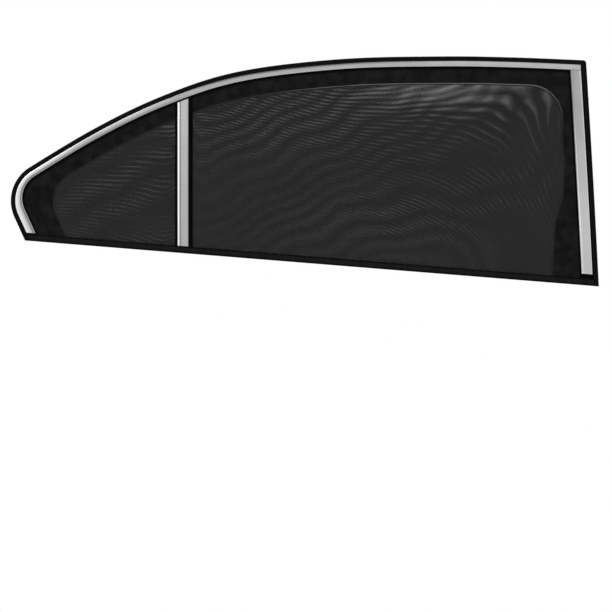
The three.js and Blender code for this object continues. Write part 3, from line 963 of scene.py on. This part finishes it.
def roof_strip():
    """The silver strip round the rear and roof, with a lower step along its inner edge. Its
    profile gives shares of its width, offsets from there and drops below its top."""
    edge = -ROOF_STRIP_STEP
    profile = [(0, 0, 0.35), (0, 0.12, 0.1), (0, 0.4, 0), (0.15, 0, -0.08), (0.35, 0, -0.12)]
    profile += [(0.55, 0, -0.1), (1, edge - 0.5, 0), (1, edge - 0.15, 0.12), (1, edge, 0.5)]
    profile += [(1, -0.4, 0.5), (1, -0.12, 0.6), (1, 0, 0.8)]
    front, back = [], []
    for share, offset, drop in profile:
        rear = STRIP_FROM + REAR_STRIP_WIDTH * share + offset
        roof = STRIP_FROM + ROOF_STRIP_WIDTH * share + offset
        foot = STRIP_FOOT + ROOF_STRIP_RAISED
        run = outline(foot, rear, roof, ROOF_STRIP_END, NOSE_RADIUS - rear)
        front.append(placed(run[:TO_ROOF_END], STRIP_TOP + drop))
        back.append(placed(run[:TO_ROOF_END], STRIP_BASE))
    return slab("ribbed_roof_strip", front, back, ROOF_SILVER_LOOK, ["roof_strip"])


def roof_tape():
    """The thin black tape under the silver strip of the rear and roof."""
    front, back = [], []
    for share in np.linspace(0, 1, 7):
        rear = STRIP_FROM + (REAR_STRIP_WIDTH + TAPE_MARGIN) * share
        roof = STRIP_FROM + (ROOF_STRIP_WIDTH + TAPE_MARGIN) * share
        run = outline(STRIP_FOOT, rear, roof, STRIP_FROM, NOSE_RADIUS - rear)[:TO_ROOF_END]
        front.append(placed(run, TAPE))
        back.append(placed(run, -SEAM))
    return slab("roof_tape_band", front, back, TAPE_LOOK, ["roof_strip_tape"])


def rising_grids(lines, foot, head, base, profile):
    """Front and back grids between rising lines, from a height above the rim to an inset from the
    roof. profile gives the front's depth for each line and the heights above its foot."""
    front, back = [], []
    for i, line in enumerate(lines):
        start, end = crossing(moved(RIM_SIDE, foot), line), under_roof(line, head)
        run = np.linspace(start, end, RISING_POINTS)
        height = np.linalg.norm(run - run[0], axis=1)
        front.append(placed(run, profile(i, height)))
        back.append(placed(run, base))
    return front, back


def upright_lines(positions):
    """Upright lines at positions along X."""
    up = np.array([0.0, 1.0])
    return [(np.array([x, 0.0]), up, np.array([1.0, 0.0])) for x in positions]


def divider_strip():
    """A bead, a groove and a flat face between the two windows: positions across the strip, and
    their drops below its top."""
    bead = DIVIDER_REAR + DIVIDER_BEAD
    face = bead + DIVIDER_GROOVE
    turns = np.linspace(0, math.pi, 11)
    across = [*(DIVIDER_REAR + DIVIDER_BEAD * (1 - np.cos(turns)) / 2), bead + 0.05, face - 0.05]
    drops = [*(-BEAD + 0.9 * (1 - np.sin(turns))), STRIP_THICKNESS / 2, STRIP_THICKNESS / 2]
    across += [face, face + 0.25, face + 5, face + 10, DIVIDER_FRONT - 0.3, DIVIDER_FRONT]
    drops += [0.3, 0, -0.05, -0.05, 0, 0.35]
    front, back = rising_grids(
        upright_lines(across),
        STRIP_FOOT,
        STRIP_HEAD,
        STRIP_BASE,
        lambda i, height: STRIP_TOP + drops[i] + 0 * height,
    )
    slab("grooved_divider_strip", front, back, DIVIDER_SILVER_LOOK, ["divider_strip"])


def front_strip():
    """The silver strip beside the front edge, with a raised lip on its sides and foot."""
    width, lip = FRONT_STRIP_WIDTH, FRONT_STRIP_LIP
    across = [0, 0.15, 0.4, 0.8, 1.2, 1.5, lip + 0.1, 4, 9.5, 15]
    across += [width - a for a in across[6::-1]]

    def lipped(i, height):
        near = np.minimum(min(across[i], width - across[i]), height)
        raised = np.clip((lip - near) / 0.35, 0, 1)
        edge = np.clip(1 - near / 0.4, 0, 1)
        return STRIP_TOP - BEAD * raised + 0.45 * edge**2

    front, back = rising_grids(
        [moved(FRONT_SIDE, FRONT_STRIP_INSET + a) for a in across],
        FRONT_STRIP_FOOT,
        STRIP_FROM + ROOF_STRIP_WIDTH + FRONT_STRIP_GAP,
        STRIP_BASE,
        lipped,
    )
    slab("lipped_front_strip", front, back, FRONT_SILVER_LOOK, ["front_strip"])


def tape_band(name, lines, node):
    """A thin black tape between rising lines."""
    front, back = rising_grids(
        lines, STRIP_FOOT, STRIP_HEAD, -SEAM, lambda i, height: TAPE + 0 * height
    )
    slab(name, front, back, TAPE_LOOK, [node])


def stitch_rows():
    """Stitches beside the windows, in the binding and along the hems, for each face."""
    outer, inner = [], []
    reach = EDGING_THICKNESS + SEAM
    rows = [(run[2:-2], 0) for run in windows(BESIDE_WINDOW)]
    rows.append((inset_outline(EDGING_WIDTH - BESIDE_LIP, HEM_HEIGHT), reach))
    for height in HEM_ROWS:
        rows.append((rim_row(height, STRIP_FROM + 1, 60), -HEM_OUTER))
    for run, proud in rows:
        outer.append((run, -proud, -1))
        inner.append((run, SLEEVE_DEPTH + proud, 1))
    return outer, inner


def window_seams(name, depth, out):
    """A seam right on the edge of the windows, pale where its painted highlight falls along the
    front half of the roof.
    """
    rows = [(run[2:-2], depth, out) for run in windows(SEAM_WIDTH / 2)]
    return stitches(name, rows, SEAM_WIDTH, SEAM_LOOK)


binding = edging()
outer_cloth, cloth_area = border("outer_border_cloth", "outer_border", 0)
inner_cloth, _ = border("inner_border_cloth", "inner_border", SLEEVE_DEPTH - CLOTH)
outer_net = net("outer_net", "outer_net", OUTER_NET, 1)
inner_net = net("inner_net", "inner_net", INNER_NET + NET, -1)
outer_hem = hem("outer_rim_hem", "outer_hem", HEM_OUTER, HEM_INNER)
inner_hem = hem("inner_rim_hem", "inner_hem", SLEEVE_DEPTH - HEM_INNER, SLEEVE_DEPTH - HEM_OUTER)
elastic("outer_rim_elastic", "outer_elastic", ELASTIC)
elastic("inner_rim_elastic", "inner_elastic", SLEEVE_DEPTH - ELASTIC - ELASTIC_THICKNESS)
roof_tape()
roof_strip()
tape_sides = DIVIDER_REAR - DIVIDER_REAR_MARGIN, DIVIDER_FRONT + DIVIDER_FRONT_MARGIN
tape_band("divider_tape_band", upright_lines(np.linspace(*tape_sides, 12)), "divider_tape")
divider_strip()
tape_insets = STRIP_FROM, FRONT_STRIP_INSET + FRONT_STRIP_WIDTH + TAPE_MARGIN
front_lines = [moved(FRONT_SIDE, inset) for inset in np.linspace(*tape_insets, 9)]
tape_band("front_tape_band", front_lines, "front_strip_tape")
front_strip()
outer_rows, inner_rows = stitch_rows()
outer_stitches = stitches("outer_stitches", outer_rows, STITCH_WIDTH, STITCH_LOOK)
inner_stitches = stitches("inner_stitches", inner_rows, STITCH_WIDTH, STITCH_LOOK)
outer_seams = window_seams("outer_window_seams", 0, -1)
inner_seams = window_seams("inner_window_seams", SLEEVE_DEPTH, 1)

# The size of the net's outline along X and Z, in metres
net_size = [float(side) * MM for side in np.ptp(net_region(), axis=0)]


def background_rays(tree):
    """1 for a ray from the camera, or one that metal or see-through cloth sends on."""
    path = tree.nodes.new("ShaderNodeLightPath")
    total = path.outputs["Is Camera Ray"]
    for kind in ("Is Glossy Ray", "Is Transmission Ray"):
        both = tree.nodes.new("ShaderNodeMath")
        both.operation = "MAXIMUM"
        tree.links.new(total, both.inputs[0])
        tree.links.new(path.outputs[kind], both.inputs[1])
        total = both.outputs[0]
    return total


# The studio: the floor, where it fades into white, the world's light, and the camera
FLOOR_Z = -0.75
FLOOR_REACH = 9
FADE_FROM, FADE_TO = 0.9, 1.45
UNSEEN_LIGHT, SEEN_LIGHT = 0.62, 1.0
LIGHTS_AIM = Vector((0, 0, 0.15))
EYE = (-0.0107, -6.017, -0.0755)


def backdrop():
    """A pale floor well below the shade, which fades into the world's white."""
    mesh = bpy.data.meshes.new("floor")
    corners = [
        (x * FLOOR_REACH, y * FLOOR_REACH, FLOOR_Z) for x, y in ((-1, -1), (1, -1), (1, 1), (-1, 1))
    ]
    mesh.from_pydata(corners, [], [(0, 1, 2, 3)])
    floor = bpy.data.objects.new("floor", mesh)
    bpy.context.scene.collection.objects.link(floor)
    look = Look("pale_floor")
    look.set(Base_Color=(0.85, 0.85, 0.85, 1), Roughness=0.9)
    far = look.node("ShaderNodeVectorMath", {0: look.place(False)}, operation="LENGTH")
    fade = look.ranged(far.outputs["Value"], 0.0, 1.0, FADE_FROM, FADE_TO)
    seen = look.math("MULTIPLY", fade, background_rays(look.tree))
    white = look.node("ShaderNodeEmission", {"Color": (1, 1, 1, 1), "Strength": 1.0})
    shaders = {0: seen, 1: look.shader.outputs[0], 2: white.outputs[0]}
    mixed = look.node("ShaderNodeMixShader", shaders).outputs[0]
    look.tree.links.new(mixed, look.tree.nodes["Material Output"].inputs["Surface"])
    mesh.materials.append(look.material)


def world():
    """White where it is seen, and soft even light elsewhere."""
    studio = bpy.data.worlds.new("studio")
    bpy.context.scene.world = studio
    studio.use_nodes = True
    tree = studio.node_tree
    strength = tree.nodes.new("ShaderNodeMapRange")
    strength.inputs["To Min"].default_value = UNSEEN_LIGHT
    strength.inputs["To Max"].default_value = SEEN_LIGHT
    background = tree.nodes["Background"]
    background.inputs["Color"].default_value = (1, 1, 1, 1)
    tree.links.new(background_rays(tree), strength.inputs["Value"])
    tree.links.new(strength.outputs["Result"], background.inputs["Strength"])


def softbox(name, position, size, power):
    """A soft rectangular lamp aimed at the shade."""
    data = bpy.data.lights.new(name, "AREA")
    data.shape = "RECTANGLE"
    data.size, data.size_y = size
    data.energy = power
    lamp = bpy.data.objects.new(name, data)
    lamp.location = position
    lamp.rotation_euler = (LIGHTS_AIM - Vector(position)).to_track_quat("-Z", "Y").to_euler()
    bpy.context.scene.collection.objects.link(lamp)


def camera():
    """Square on, from far enough off that the edges stay nearly parallel."""
    data = bpy.data.cameras.new("camera")
    data.lens = 200
    data.sensor_width = 36
    data.clip_end = 100
    eye = bpy.data.objects.new("camera", data)
    eye.location = EYE
    eye.rotation_euler = (math.radians(90), 0, 0)
    bpy.context.scene.collection.objects.link(eye)
    bpy.context.scene.camera = eye


backdrop()
world()
softbox("key", (-1.6, -2.6, 2.0), (1.6, 1.2), 55)
softbox("fill", (2.2, -2.4, 0.6), (1.4, 1.4), 22)
softbox("back", (0.4, 2.6, 1.8), (2.0, 1.2), 40)
camera()
bpy.context.scene.view_settings.view_transform = "Standard"
